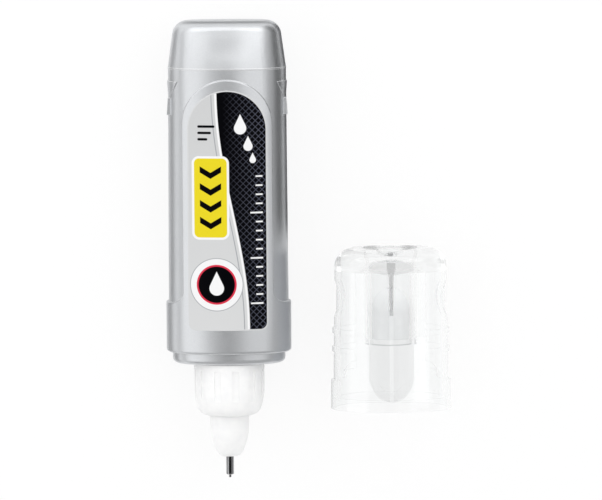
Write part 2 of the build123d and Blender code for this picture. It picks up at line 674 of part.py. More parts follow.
# What stays under the flat channel in the panels, and under the round dimples at the sides
with BuildPart() as channel_core:
    with BuildSketch(CAP):
        Rectangle(CAP_WIDTH, CAP_DEPTH - 2 * CHANNEL_DEPTH)
    extrude(amount=CAP_HEIGHT + OVERSHOOT, taper=CAP_DRAFT_DEGREES)
dimple_core = oval_bar(
    CAP,
    CAP_GRIP_WIDTH - 2 * DIMPLE_DEPTH,
    CAP_GRIP_DEPTH - 2 * DIMPLE_DEPTH,
    CAP_HEIGHT + OVERSHOOT,
    CAP_DRAFT_DEGREES,
)
inner_face_fall = (INNER_RIB_STEP - LIP_DEPTH) * math.tan(math.radians(CAP_DRAFT_DEGREES))
inner_rib_taper = math.degrees(math.atan2(INNER_RIB_TOP_RADIUS - INNER_RIB_STEP_RADIUS, INNER_RIB_LENGTH))
with BuildPart() as cap_shell:
    with BuildSketch(CAP):
        oval(CAP_GRIP_WIDTH, CAP_GRIP_DEPTH)
    extrude(amount=CAP_HEIGHT, taper=CAP_DRAFT_DEGREES)
    fillet(cap_shell.faces().sort_by(Axis.Y)[-1].edges(), radius=CAP_TOP_ROUNDING)
    for station in CAP_RIB_STATIONS:
        narrowing = 2 * station * math.tan(math.radians(CAP_DRAFT_DEGREES)) - 2 * CAP_RIB_HEIGHT
        with BuildSketch(CAP.offset(station - CAP_RIB_THICKNESS / 2)):
            oval(CAP_GRIP_WIDTH - narrowing, CAP_GRIP_DEPTH - narrowing)
        extrude(amount=CAP_RIB_THICKNESS)
    for side in (-1, 1):
        dimple_middle = (CAP_X, MOUTH_Y + DIMPLE_STATION, CAP_Z)
        round_spot = Plane(origin=dimple_middle, x_dir=(0, 1, 0), z_dir=(side, 0, 0))
        add(rod(round_spot, DIMPLE_RADIUS, CAP_WIDTH) - dimple_core, mode=Mode.SUBTRACT)
    add(cap_panel.part)
    with BuildSketch(CAP_FLAT):
        bend = CHANNEL_START + CHANNEL_BEND
        with BuildLine():
            EllipticalCenterArc((0, bend), CHANNEL_HALF_WIDTH, CHANNEL_BEND, start_angle=180, arc_size=180)
            Polyline(
                (CHANNEL_HALF_WIDTH, bend),
                (CHANNEL_HALF_WIDTH, CAP_HEIGHT + OVERSHOOT),
                (-CHANNEL_HALF_WIDTH, CAP_HEIGHT + OVERSHOOT),
                (-CHANNEL_HALF_WIDTH, bend),
            )
        make_face()
    channel = extrude(amount=CAP_DEPTH, both=True, mode=Mode.PRIVATE)
    add(channel - channel_core.part, mode=Mode.SUBTRACT)
    with BuildSketch(CAP_FLAT):
        profile(
            [
                (0, DISH_FLOOR),
                (DISH_FLOOR_RADIUS, DISH_FLOOR),
                (DISH_RADIUS, CAP_HEIGHT),
                (DISH_RADIUS, CAP_HEIGHT + OVERSHOOT),
                (0, CAP_HEIGHT + OVERSHOOT),
            ]
        )
    revolve(axis=CAP_AXIS, mode=Mode.SUBTRACT)
    with BuildSketch(CAP.offset(DISH_FLOOR)):
        Circle(BOSS_RADIUS)
    extrude(amount=DISH_DEPTH - BOSS_DROP)
    with BuildSketch(CAP):
        oval(SPIGOT_WIDTH + 2 * CAP_FIT, SPIGOT_DEPTH + 2 * CAP_FIT)
    extrude(amount=LIP_DEPTH, mode=Mode.SUBTRACT)
    with BuildSketch(CAP.offset(LIP_DEPTH)):
        oval(CAP_GRIP_WIDTH - 2 * CAP_WALL, CAP_DEPTH - 2 * CAP_FRONT_WALL)
    extrude(amount=ROOF - LIP_DEPTH, taper=CAP_DRAFT_DEGREES, mode=Mode.SUBTRACT)
    for side in (-1, 1):
        with BuildSketch(CAP.offset(INNER_RIB_STEP)):
            with Locations((0, side * (INNER_FACE - INNER_RIB_SINK))):
                Circle(INNER_RIB_STEP_RADIUS)
        extrude(amount=INNER_RIB_LENGTH, taper=-inner_rib_taper)
        with BuildSketch(CAP_SIDE):
            profile(
                [
                    (INNER_LINE_START, side * (INNER_FACE + INNER_LINE_HEIGHT)),
                    (INNER_RIB_STEP, side * (INNER_FACE + INNER_LINE_HEIGHT)),
                    (INNER_RIB_STEP, side * (INNER_FACE - inner_face_fall - INNER_LINE_HEIGHT)),
                    (INNER_LINE_START, side * (INNER_FACE - INNER_LINE_HEIGHT)),
                ]
            )
        extrude(amount=INNER_LINE_HALF_WIDTH, both=True)
    with BuildSketch(CAP.offset(SEAL_FLANGE_END + FACE_GAP)):
        Circle(SLEEVE_RADIUS)
    extrude(amount=ROOF - SEAL_FLANGE_END - FACE_GAP)
    with BuildSketch(CAP_FLAT):
        bore = SEAL_RADIUS + SEAL_FIT
        with BuildLine():
            Polyline((0, ROOF - CEILING_BULGE), (0, SEAL_FLANGE_END), (bore, SEAL_FLANGE_END), (bore, ROOF))
            TangentArc((0, ROOF - CEILING_BULGE), (bore, ROOF), tangent=(1, 0))
        make_face()
    revolve(axis=CAP_AXIS, mode=Mode.SUBTRACT)

# Cap seal: a domed cup with a flange, which closes over the cone
with BuildPart() as cap_seal:
    with BuildSketch(CAP_FLAT):
        with BuildLine():
            Polyline(
                (CONE_ROOT_RADIUS + SEAL_MOUTH, SEAL_START),
                (SEAL_FLANGE_RADIUS, SEAL_START),
                (SEAL_FLANGE_RADIUS, SEAL_FLANGE_END),
                (SEAL_RADIUS, SEAL_FLANGE_END),
                (SEAL_RADIUS, SEAL_SHOULDER),
            )
            TangentArc((SEAL_RADIUS, SEAL_SHOULDER), (SEAL_FLAT_RADIUS, SEAL_TOP), tangent=(0, 1))
            Polyline(
                (SEAL_FLAT_RADIUS, SEAL_TOP),
                (SEAL_HOLE_RADIUS, SEAL_TOP),
                (SEAL_HOLE_RADIUS, CONE_END + SEAL_CLEARANCE),
                (CONE_NOSE_RADIUS + SEAL_CLEARANCE, CONE_END + SEAL_CLEARANCE),
                (CONE_NOSE_RADIUS + SEAL_CLEARANCE, CONE_NOSE),
            )
            TangentArc(
                (CONE_WAIST_RADIUS + SEAL_CLEARANCE, CONE_WAIST),
                (CONE_NOSE_RADIUS + SEAL_CLEARANCE, CONE_NOSE),
                tangent=CONE_SLOPE,
            )
            Polyline(
                (CONE_WAIST_RADIUS + SEAL_CLEARANCE, CONE_WAIST),
                (CONE_ROOT_RADIUS + SEAL_CLEARANCE, SEAL_START + SEAL_MOUTH_LENGTH),
                (CONE_ROOT_RADIUS + SEAL_MOUTH, SEAL_START),
            )
        make_face()
    revolve(axis=CAP_AXIS)

bottle.part.label = "bottle"
export_step(bottle.part, "parts/bottle.step")
front_label.part.label = "front_label"
export_step(front_label.part, "parts/front_label.step")
nozzle_collar.part.label = "nozzle_collar"
export_step(nozzle_collar.part, "parts/nozzle_collar.step")
neck_gasket.part.label = "neck_gasket"
export_step(neck_gasket.part, "parts/neck_gasket.step")
nozzle_cone.part.label = "nozzle_cone"
export_step(nozzle_cone.part, "parts/nozzle_cone.step")
tip_tube.part.label = "tip_tube"
export_step(tip_tube.part, "parts/tip_tube.step")
valve_needle.part.label = "valve_needle"
export_step(valve_needle.part, "parts/valve_needle.step")
needle_head.part.label = "needle_head"
export_step(needle_head.part, "parts/needle_head.step")
valve_spring.part.label = "valve_spring"
export_step(valve_spring.part, "parts/valve_spring.step")
spring_retainer.part.label = "spring_retainer"
export_step(spring_retainer.part, "parts/spring_retainer.step")
mixing_ball_front.part.label = "mixing_ball_front"
export_step(mixing_ball_front.part, "parts/mixing_ball_front.step")
mixing_ball_rear.part.label = "mixing_ball_rear"
export_step(mixing_ball_rear.part, "parts/mixing_ball_rear.step")
cap_shell.part.label = "cap_shell"
export_step(cap_shell.part, "parts/cap_shell.step")
cap_seal.part.label = "cap_seal"
export_step(cap_seal.part, "parts/cap_seal.step")
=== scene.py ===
import math

import bpy
from mathutils import Matrix, Vector


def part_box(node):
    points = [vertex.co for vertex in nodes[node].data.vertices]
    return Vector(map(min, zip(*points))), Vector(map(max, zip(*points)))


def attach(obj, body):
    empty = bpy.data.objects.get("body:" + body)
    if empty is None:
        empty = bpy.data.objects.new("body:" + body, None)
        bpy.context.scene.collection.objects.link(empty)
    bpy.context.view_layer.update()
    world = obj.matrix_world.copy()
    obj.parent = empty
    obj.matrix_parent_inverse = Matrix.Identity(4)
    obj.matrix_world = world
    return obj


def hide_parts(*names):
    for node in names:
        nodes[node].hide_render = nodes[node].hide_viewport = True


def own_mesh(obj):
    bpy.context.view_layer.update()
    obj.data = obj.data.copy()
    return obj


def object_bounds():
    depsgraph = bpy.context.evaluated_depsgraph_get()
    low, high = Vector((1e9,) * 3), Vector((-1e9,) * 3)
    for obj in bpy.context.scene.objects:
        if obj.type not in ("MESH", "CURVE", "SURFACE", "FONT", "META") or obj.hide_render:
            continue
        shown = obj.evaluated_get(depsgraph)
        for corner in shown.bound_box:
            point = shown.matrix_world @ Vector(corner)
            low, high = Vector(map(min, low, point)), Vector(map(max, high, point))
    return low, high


# Correction pen on a pale floor beside its clear cap: materials, label print, light and camera.
# Lengths are metres. The print of the label is drawn in millimetres.

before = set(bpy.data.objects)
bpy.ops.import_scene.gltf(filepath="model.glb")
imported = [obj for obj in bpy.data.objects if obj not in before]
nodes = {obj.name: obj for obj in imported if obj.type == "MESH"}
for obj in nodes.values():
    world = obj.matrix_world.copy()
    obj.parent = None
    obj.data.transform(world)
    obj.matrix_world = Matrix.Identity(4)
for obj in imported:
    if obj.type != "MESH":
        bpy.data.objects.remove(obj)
cad_low, cad_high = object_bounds()

MM = 0.001
MICRON = 0.000001

# Camera, almost straight above and a little towards the rear end of the pen
IMAGE_WIDTH_PIXELS = 602
FOCAL_LENGTH_PIXELS = 6000
SENSOR_WIDTH = 36.0
CAMERA_DISTANCE = 1.326
CAMERA_TILT = math.radians(5.5)
CAMERA_ROLL = math.radians(-0.4)
CAMERA_AIM = Vector((-1.6, -0.24, 9.8)) * MM

# Light: soft boxes, each across X or Y, with the angles from straight up that it fills, its length,
# how far its middle lies towards the rear end or the right, and its level
BOX_DISTANCE = 0.7
SOFT_BOXES = (
    ("soft_box_left", "X", (-74, -27), 1.5, 0.2, 0.75),
    ("soft_box_right", "X", (16, 54), 1.2, 0.5, 0.8),
    ("soft_box_top", "Y", (8, 24), 0.5, 0.0, 0.84),
    ("soft_box_rear", "Y", (50, 78), 1.0, 0.0, 0.98),
)

# Room: its level low down on the left and on the right, its level higher up, the heights in the unit sky
# that it changes between, and where and how far it grows lighter towards the rear end
ROOM_COLOUR = (1, 1, 1, 1)
ROOM_LEFT = 0.48
ROOM_RIGHT = 0.39
ROOM_OVERHEAD = 0.46
ROOM_CLIMB = (0.05, 0.5)
ROOM_REAR = (0.05, 0.4, 1.0, 1.4)

# Least level of the room as seen through clear plastic, and on matt surfaces from left to right
ROOM_THROUGH = 0.9
ROOM_FILL = (0.64, 0.87)

# Dark gap straight above, between the boxes, as parts of the unit sky, and where its edge fades
GAP_CENTRE_Y = -0.14
GAP_REACH = (0.16, 0.4)
GAP_EDGE = (0.5, 1.2)
GAP_LEVEL = 0.25

# Cards round the pen that only mirror images show: two corners, fade from the end nearest the tip, colour
CARD_BLACK = (0.03, 0.03, 0.03, 1)
CARD_GREY = (0.3, 0.3, 0.3, 1)
CARD_PALE = (0.55, 0.56, 0.58, 1)
CARDS = (
    ("card_right", (0.015, -0.004, 0.0), (0.015, 0.085, 0.017), 0.009, CARD_BLACK),
    ("card_left", (-0.064, -0.045, 0.0), (-0.0405, 0.06, 0.0), 0.005, CARD_GREY),
    ("card_rear", (-0.0345, 0.056, 0.0), (0.0, 0.09, 0.0), 0.002, CARD_GREY),
    ("card_between", (-0.003, 0.0, 0.0), (0.008, 0.06, 0.0), 0.005, CARD_BLACK),
    ("card_tip", (-0.0232, -0.0545, 0.0178), (-0.0114, -0.0462, 0.0178), 0.001, CARD_BLACK),
    ("card_cap", (0.0044, -0.038, 0.0), (0.0044, -0.001, 0.0175), 0.003, CARD_PALE),
)
CARD_ROUGHNESS = (0.8, 0.9)

# Between no pass through clear plastic and one, after which the cards don't show
CARD_PASSES = 0.5

# Floor, and how far it shows white to the camera and in mirror images
FLOOR_HALF = 3.0
FLOOR_DROP = 0.05 * MM
FLOOR_COLOUR = (0.92, 0.92, 0.92, 1)
FLOOR_ROUGHNESS = (0.75, 0.9)
FLOOR_GLOW = 0.85
FLOOR_MIRROR_GLOW = 0.1
PAPER_GRAIN = 1.5 * MM

# Colours
SILVER_DARK = (0.59, 0.604, 0.622, 1)
SILVER_LIGHT = (0.72, 0.733, 0.75, 1)
SILVER_EDGE_HIGHLIGHT = (0.9, 0.905, 0.91, 1)
PLASTIC_WHITE = (0.95, 0.95, 0.945, 1)
PLASTIC_SHADE = (0.9, 0.903, 0.906, 1)
STEEL_DARK = (0.15, 0.15, 0.155, 1)
STEEL_LIGHT = (0.52, 0.52, 0.53, 1)
CLEAR = (0.985, 0.99, 0.99, 1)
CLEAR_CHANNEL_SHADE = (0.81, 0.813, 0.815, 1)
CLEAR_BAND_SHADE = (0.8, 0.803, 0.805, 1)
CLEAR_RIB_SHADE = (0.42, 0.423, 0.425, 1)
CLEAR_DISH_SHADE = (0.55, 0.553, 0.555, 1)
CLEAR_DEPTH = (0.8, 0.805, 0.805, 1)
CLEAR_DENSITY = 20.0
MILKY_LIGHT = (0.95, 0.953, 0.957, 1)
MILKY_DARK = (0.89, 0.893, 0.9, 1)
MILKY_FLANGE_LIGHTENED = (0.97, 0.97, 0.97, 1)
MILKY_SHADE_LINE = (0.6, 0.605, 0.61, 1)
RUBBER_DARK = (0.02, 0.02, 0.021, 1)
RUBBER_LIGHT = (0.045, 0.045, 0.046, 1)
PRINT_GREY = (0.555, 0.56, 0.563, 1)
PRINT_PALE = (0.62, 0.625, 0.628, 1)
PRINT_BLACK = (0.001, 0.001, 0.002, 1)
PRINT_LATTICE = (0.07, 0.075, 0.1, 1)
PRINT_YELLOW = (0.74, 0.61, 0.02, 1)
PRINT_RED = (0.65, 0.035, 0.07, 1)
PRINT_WHITE = (0.82, 0.82, 0.825, 1)
PRINT_RIM = (0.33, 0.34, 0.36, 1)

# Most of a noise lies between these values
NOISE_SPREAD = (0.3, 0.7)

# The same in all three directions
EVEN = (1.0, 1.0, 1.0)


class Field:
    """A number that varies over a surface. Plain arithmetic on it adds Math nodes."""

    def __init__(self, shader, socket):
        self.shader = shader
        self.socket = socket

    def math(self, operation, *values):
        return self.shader.math(operation, *values)

    def __add__(self, other):
        return self.math("ADD", self, other)

    def __sub__(self, other):
        return self.math("SUBTRACT", self, other)

    def __rsub__(self, other):
        return self.math("SUBTRACT", other, self)

    def __mul__(self, other):
        return self.math("MULTIPLY", self, other)

    def __truediv__(self, other):
        return self.math("DIVIDE", self, other)

    def __abs__(self):
        return self.math("ABSOLUTE", self)

    def least(self, other):
        return self.math("MINIMUM", self, other)

    def most(self, other):
        return self.math("MAXIMUM", self, other)

    def cosine(self):
        return self.math("COSINE", self)

    def ping_pong(self, reach):
        """Distance to the nearest multiple of twice the reach."""
        return self.math("PINGPONG", self, reach)

    def ramp(self, start, end, low=0.0, high=1.0):
        """From low at start to high at end, and level beyond them."""
        node = self.shader.add("ShaderNodeMapRange", clamp=True)
        for name, value in (("Value", self), ("From Min", start), ("From Max", end)):
            self.shader.feed(node.inputs[name], value)
        node.inputs["To Min"].default_value = low
        node.inputs["To Max"].default_value = high
        return Field(self.shader, node.outputs["Result"])


class Shader:
    """A node tree under construction, for a material or for the world."""

    def __init__(self, owner):
        owner.use_nodes = True
        self.owner = owner
        self.nodes = owner.node_tree.nodes
        self.links = owner.node_tree.links

    def add(self, kind, **settings):
        node = self.nodes.new(kind)
        for name, value in settings.items():
            setattr(node, name, value)
        return node

    def feed(self, socket, value):
        """Joins a field or a socket to an input, or sets the input to a plain value."""
        if isinstance(value, Field):
            self.links.new(value.socket, socket)
        elif isinstance(value, bpy.types.NodeSocket):
            self.links.new(value, socket)
        else:
            socket.default_value = value

    def math(self, operation, *values):
        node = self.add("ShaderNodeMath", operation=operation)
        for socket, value in zip(node.inputs, values):
            self.feed(socket, value)
        return Field(self, node.outputs[0])

    def length(self, across, along):
        return self.math("SQRT", across * across + along * along)

    def mix(self, share, first, second):
        """Colour that goes from the first to the second as the share goes from 0 to 1."""
        node = self.add("ShaderNodeMix", data_type="RGBA")
        self.feed(node.inputs["Factor"], share)
        self.feed(node.inputs[6], first)
        self.feed(node.inputs[7], second)
        return node.outputs[2]

    def place(self):
        """Point on the piece, in metres."""
        return self.add("ShaderNodeTexCoord").outputs["Object"]

    def axes(self, point):
        """The three coordinates of a point, as fields."""
        node = self.add("ShaderNodeSeparateXYZ")
        self.feed(node.inputs[0], point)
        return [Field(self, socket) for socket in node.outputs]

    def stretched(self, point, factors):
        node = self.add("ShaderNodeVectorMath", operation="MULTIPLY")
        self.feed(node.inputs[0], point)
        node.inputs[1].default_value = factors
        return node.outputs[0]

    def noise(self, point, grain, detail=2.0, rough=0.5):
        """Noise around 0.5 whose grains are about as large as the length given."""
        node = self.add("ShaderNodeTexNoise")
        self.feed(node.inputs["Vector"], point)
        node.inputs["Scale"].default_value = 1 / grain
        node.inputs["Detail"].default_value = detail
        node.inputs["Roughness"].default_value = rough
        return Field(self, node.outputs[0])

    def bump(self, height, distance, strength=1.0, below=None):
        node = self.add("ShaderNodeBump")
        node.inputs["Strength"].default_value = strength
        node.inputs["Distance"].default_value = distance
        self.feed(node.inputs["Height"], height)
        if below is not None:
            self.feed(node.inputs["Normal"], below)
        return node.outputs["Normal"]

    def path(self, *rays):
        """1 for the rays named and 0 for others, or how often a ray has been turned, for a depth."""
        node = self.add("ShaderNodeLightPath")
        total = Field(self, node.outputs[rays[0]])
        for ray in rays[1:]:
            total = total.most(Field(self, node.outputs[ray]))
        return total


class Material(Shader):
    """A material with one Principled shader."""

    def __init__(self, name):
        super().__init__(bpy.data.materials.new(name))
        self.surface = self.nodes["Principled BSDF"]
        self.output = self.nodes["Material Output"]

    def set(self, values):
        for name, value in values.items():
            self.feed(self.surface.inputs[name], value)

    def choose(self, share, first, second):
        """Shader that goes from the first to the second as the share goes from 0 to 1."""
        node = self.add("ShaderNodeMixShader")
        self.feed(node.inputs[0], share)
        self.feed(node.inputs[1], first.outputs[0])
        self.feed(node.inputs[2], second.outputs[0])
        return node

    def dress(self, *names):
        for name in names:
            for slot in nodes[name].material_slots:
                slot.material = self.owner


# Silver bottle: flakes, flow marks along it, grain, and its moulded edges, which bend the surface and
# carry a painted highlight
FLAKE_SIZE = 0.14 * MM
FLAKE_TONE = (0.15, 0.85)
FLAKE_SHARE = 0.7
FLAKE_HEIGHT = 2 * MICRON
FLOW_SIZE = 2.5 * MM
FLOW_STRETCH = (1.0, 0.25, 1.0)
SILVER_GRAIN = 0.5 * MM
SILVER_GRAIN_HEIGHT = 6 * MICRON
SILVER_ROUGHNESS = (0.32, 0.38)
SILVER_METALLIC = 0.88
EDGE_SOFTNESS = 0.14 * MM
EDGE_SAMPLES = 6
EDGE_LIKENESS = (0.998, 0.95)
EDGE_METALLIC = 0.3


def silver_plastic():
    """Silver pigment in a satin moulding: fine flakes, faint flow marks, and a painted highlight that
    makes sharp edges paler and less metallic.
    """
    material = Material("silver_plastic_satin")
    place = material.place()
    flakes = material.noise(place, FLAKE_SIZE, detail=1.0)
    flow = material.noise(material.stretched(place, FLOW_STRETCH), FLOW_SIZE, detail=3.0)
    grain = material.noise(place, SILVER_GRAIN, detail=3.0)
    tone = flakes.ramp(*NOISE_SPREAD, *FLAKE_TONE) * FLAKE_SHARE + flow * (1 - FLAKE_SHARE)
    edges = material.add("ShaderNodeBevel", samples=EDGE_SAMPLES)
    edges.inputs["Radius"].default_value = EDGE_SOFTNESS
    likeness = material.add("ShaderNodeVectorMath", operation="DOT_PRODUCT")
    material.feed(likeness.inputs[0], edges.outputs["Normal"])
    material.feed(likeness.inputs[1], material.add("ShaderNodeNewGeometry").outputs["Normal"])
    # Painted highlight: sharp edges are mixed towards a paler, less metallic colour
    sharp = Field(material, likeness.outputs["Value"]).ramp(*EDGE_LIKENESS)
    silver = material.mix(tone, SILVER_DARK, SILVER_LIGHT)
    grained = material.bump(grain, SILVER_GRAIN_HEIGHT, strength=0.35, below=edges.outputs["Normal"])
    material.set(
        {
            "Base Color": material.mix(sharp, silver, SILVER_EDGE_HIGHLIGHT),
            "Metallic": sharp.ramp(0.0, 1.0, SILVER_METALLIC, EDGE_METALLIC),
            "Roughness": grain.ramp(*NOISE_SPREAD, *SILVER_ROUGHNESS),
            "Specular IOR Level": 0.4,
            "Normal": material.bump(flakes, FLAKE_HEIGHT, strength=0.3, below=grained),
        }
    )
    material.dress("bottle")


# White plastic: clouds in it, the grain of its skin, and how far light goes inside it
WHITE_CLOUD = 1.8 * MM
WHITE_SKIN = 0.22 * MM
WHITE_SKIN_HEIGHT = 4 * MICRON
WHITE_DEPTH = 1.5 * MM
WHITE_SATIN = 0.4
WHITE_PLAIN = 0.46
WHITE_VARIATION = 0.05


def white_plastic(name, roughness, parts):
    """White moulded plastic with a little light inside it."""
    material = Material(name)
    place = material.place()
    cloud = material.noise(place, WHITE_CLOUD, detail=3.0)
    skin = material.noise(place, WHITE_SKIN, detail=2.0)
    smoothest = roughness - WHITE_VARIATION
    roughest = roughness + WHITE_VARIATION
    material.set(
        {
            "Base Color": material.mix(cloud.ramp(*NOISE_SPREAD), PLASTIC_SHADE, PLASTIC_WHITE),
            "Roughness": skin.ramp(*NOISE_SPREAD, smoothest, roughest),
            "Subsurface Weight": 0.4,
            "Subsurface Radius": EVEN,
            "Subsurface Scale": WHITE_DEPTH,
            "IOR": 1.49,
            "Normal": material.bump(skin, WHITE_SKIN_HEIGHT, strength=0.4),
        }
    )
    material.dress(*parts)


# Steel: its fine lines, drawn out along the tube or the same all ways, and its roughness
STEEL_LINES = 0.09 * MM
STEEL_LINE_HEIGHT = 2 * MICRON
DRAWN_OUT = (1.0, 0.04, 1.0)
STEEL_TUBE = 0.12
STEEL_WIRE = 0.28
STEEL_BALL = 0.16
STEEL_VARIATION = (-0.05, 0.06)


def steel(name, stretch, roughness, parts):
    """Bright steel with fine lines, long where the stretch is small."""
    material = Material(name)
    place = material.stretched(material.place(), stretch)
    lines = material.noise(place, STEEL_LINES, detail=3.0, rough=0.6)
    smoothest = roughness + STEEL_VARIATION[0]
    roughest = roughness + STEEL_VARIATION[1]
    material.set(
        {
            "Base Color": material.mix(lines.ramp(*NOISE_SPREAD), STEEL_DARK, STEEL_LIGHT),
            "Metallic": 1.0,
            "Roughness": lines.ramp(*NOISE_SPREAD, smoothest, roughest),
            "Normal": material.bump(lines, STEEL_LINE_HEIGHT, strength=0.4),
        }
    )
    material.dress(*parts)


# Front channel of the cap and the grey painted shade laid in it, in millimetres: across from its axis,
# along from its mouth, up from its middle
CHANNEL_HALF = 5.0
CHANNEL_BEND = 8.2
CHANNEL_REACH = 6.0
CHANNEL_EDGE = (1.0, 0.97)
CHANNEL_FADE = (27.0, 22.0)
CHANNEL_FLOOR = (8.35, 8.5)
# Grey band of painted shade near the closed end: where it starts, how its edge bows, where it ends
BAND_START = 30.2
BAND_CURVE = 0.044
BAND_END = (33.6, 33.0)
# Rib down the channel, shown by grey painted shade: where it runs, its half width, its wider head
RIB_SPAN = (21.4, 33.0)
RIB_HALF = (0.45, 0.65)
RIB_HEAD = (29.5, 31.5, 0.45, 1.0)
# Paler line down the middle of the channel, where the painted shade is thinner: where it fades across,
# and how much shade it takes away
LINE_HALF = (0.55, 0.35)
LINE_CLEARNESS = 0.6
EDGE_BLUR = 0.12

# Side walls of the dish in the closed end, which carry grey painted shade: along from the mouth, and how
# far they face inwards
DISH_START = (32.6, 33.0)
DISH_FACING = (0.25, 0.5)

# Turns of a ray after which the clear plastic shows a painted white glow in place of the light inside it,
# and the glow's level
CLEAR_TURNS = 5.5
CLEAR_GLOW = 0.93

# Skin of the clear plastic: slow waves, a fine haze, and the matt channel
CLEAR_WAVES = 3.5 * MM
CLEAR_WAVE_HEIGHT = 20 * MICRON
CLEAR_HAZE = 0.6 * MM
HAZE_SPREAD = (0.35, 0.75)
HAZE_ROUGHNESS = (0.015, 0.06)
MATT_ROUGHNESS = 0.05


def cap_shade_and_matt(material, place):
    """Colour of the cap with its grey painted shade, and the mask of the channel's rougher skin: shade in
    the channel, its band and rib, and on the walls of the dish.
    """
    low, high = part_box("cap_shell")
    x, y, z = material.axes(place)
    middle = (low.x + high.x) / 2
    across = abs(x - middle) / MM
    along = (y - low.y) / MM
    front = ((z - (low.z + high.z) / 2) / MM).ramp(*CHANNEL_FLOOR)
    bend = material.length(across / CHANNEL_HALF, (along - CHANNEL_BEND).least(0.0) / CHANNEL_REACH)
    channel = bend.ramp(*CHANNEL_EDGE) * front
    line = across.ramp(*LINE_HALF) * along.ramp(RIB_SPAN[0] + EDGE_BLUR, RIB_SPAN[0])
    # Mask of the channel: a rougher skin and grey painted shade, with less of that shade on a paler line
    # down its middle below the rib
    matt_and_shade = channel * along.ramp(*CHANNEL_FADE) * (1.0 - line * LINE_CLEARNESS)
    # Painted shade: a grey band across the channel near the closed end, its edge towards the mouth curved
    bowed = along - across * across * BAND_CURVE
    band = bowed.ramp(BAND_START, BAND_START + EDGE_BLUR) * along.ramp(*BAND_END)
    # Painted shade: the rib is drawn as a grey stripe on the clear colour
    rib_half = along.ramp(*RIB_SPAN, *RIB_HALF).most(along.ramp(*RIB_HEAD))
    rib = (rib_half - across).ramp(0.0, EDGE_BLUR) * along.ramp(RIB_SPAN[0] - EDGE_BLUR, RIB_SPAN[0])
    rib = rib * along.ramp(RIB_SPAN[1] + EDGE_BLUR, RIB_SPAN[1])
    # Painted shade: the channel's grey is mixed into the clear colour
    shaded_colour = material.mix(matt_and_shade, CLEAR, CLEAR_CHANNEL_SHADE)
    shaded_colour = material.mix(band * channel, shaded_colour, CLEAR_BAND_SHADE)
    # Painted shade: dish walls that face inwards are greyed
    facing = material.axes(material.add("ShaderNodeNewGeometry").outputs["True Normal"])[0]
    inwards = facing * material.math("SIGN", middle - x)
    dish = inwards.ramp(*DISH_FACING) * along.ramp(*DISH_START)
    shaded_colour = material.mix(dish, shaded_colour, CLEAR_DISH_SHADE)
    return material.mix(rib * channel, shaded_colour, CLEAR_RIB_SHADE), matt_and_shade


def clear_plastic():
    """Clear moulded plastic, a little wavy, with grey painted shade in its channel and on its dish walls,
    and a painted white glow where a ray has turned many times. Light passes it without a dark shadow.
    """
    material = Material("clear_plastic_glossy")
    place = material.place()
    shaded_colour, matt_and_shade = cap_shade_and_matt(material, place)
    waves = material.noise(place, CLEAR_WAVES, detail=1.0)
    haze = material.noise(place, CLEAR_HAZE, detail=3.0)
    material.set(
        {
            "Base Color": shaded_colour,
            "Roughness": haze.ramp(*HAZE_SPREAD, *HAZE_ROUGHNESS) + matt_and_shade * MATT_ROUGHNESS,
            "IOR": 1.5,
            "Transmission Weight": 1.0,
            "Normal": material.bump(waves, CLEAR_WAVE_HEIGHT, strength=0.25),
        }
    )
    passing = material.add("ShaderNodeBsdfTransparent")
    passing.inputs["Color"].default_value = CLEAR
    # Painted glow: after many turns of a ray the plastic glows white instead of passing light on
    trapped_glow = material.add("ShaderNodeEmission")
    trapped_glow.inputs["Strength"].default_value = CLEAR_GLOW
    turned = material.math("GREATER_THAN", material.path("Ray Depth"), CLEAR_TURNS)
    choice = material.choose(material.path("Is Shadow Ray"), material.surface, passing)
    choice = material.choose(turned, choice, trapped_glow)
    material.feed(material.output.inputs["Surface"], choice.outputs[0])
    inside = material.add("ShaderNodeVolumeAbsorption")
    inside.inputs["Color"].default_value = CLEAR_DEPTH
    inside.inputs["Density"].default_value = CLEAR_DENSITY
    material.feed(material.output.inputs["Volume"], inside.outputs[0])
    material.dress("cap_shell")


# Where the flange of the seal, painted whiter against its shade, and the painted shade line along its
# mouth end fade out, up from that end
FLANGE_END = (1.5 * MM, 1.2 * MM)
FLANGE_SHADE_LINE = (0.26 * MM, 0.2 * MM)

# Milky plastic: clouds in it, the grain of its skin, how far light goes inside it, how clear the cup is
MILKY_CLOUD = 2.2 * MM
MILKY_SKIN = 0.3 * MM
MILKY_SKIN_HEIGHT = 4 * MICRON
MILKY_ROUGHNESS = (0.32, 0.42)
MILKY_DEPTH = 1.2 * MM
MILKY_CLEARNESS = 0.12


def milky_plastic():
    """Soft translucent plastic of the seal, with clouds in it, an opaque flange painted whiter to lift
    its shade, and a painted shade line along its mouth end.
    """
    material = Material("milky_plastic_soft")
    place = material.place()
    cloud = material.noise(place, MILKY_CLOUD, detail=3.0)
    skin = material.noise(place, MILKY_SKIN)
    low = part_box("cap_seal")[0]
    along = material.axes(place)[1] - low.y
    flange = along.ramp(*FLANGE_END)
    line = along.ramp(*FLANGE_SHADE_LINE)
    cup = material.mix(cloud.ramp(*NOISE_SPREAD), MILKY_DARK, MILKY_LIGHT)
    material.set(
        {
            # Painted light makes the flange whiter, and painted shade darkens the line along its mouth
            # end
            "Base Color": material.mix(line, material.mix(flange, cup, MILKY_FLANGE_LIGHTENED), MILKY_SHADE_LINE),
            "Roughness": skin.ramp(*NOISE_SPREAD, *MILKY_ROUGHNESS),
            "IOR": 1.46,
            "Transmission Weight": flange.ramp(0.0, 1.0, MILKY_CLEARNESS, 0.0),
            "Subsurface Weight": 0.35,
            "Subsurface Radius": EVEN,
            "Subsurface Scale": MILKY_DEPTH,
            "Normal": material.bump(skin, MILKY_SKIN_HEIGHT, strength=0.4),
        }
    )
    material.dress("cap_seal")


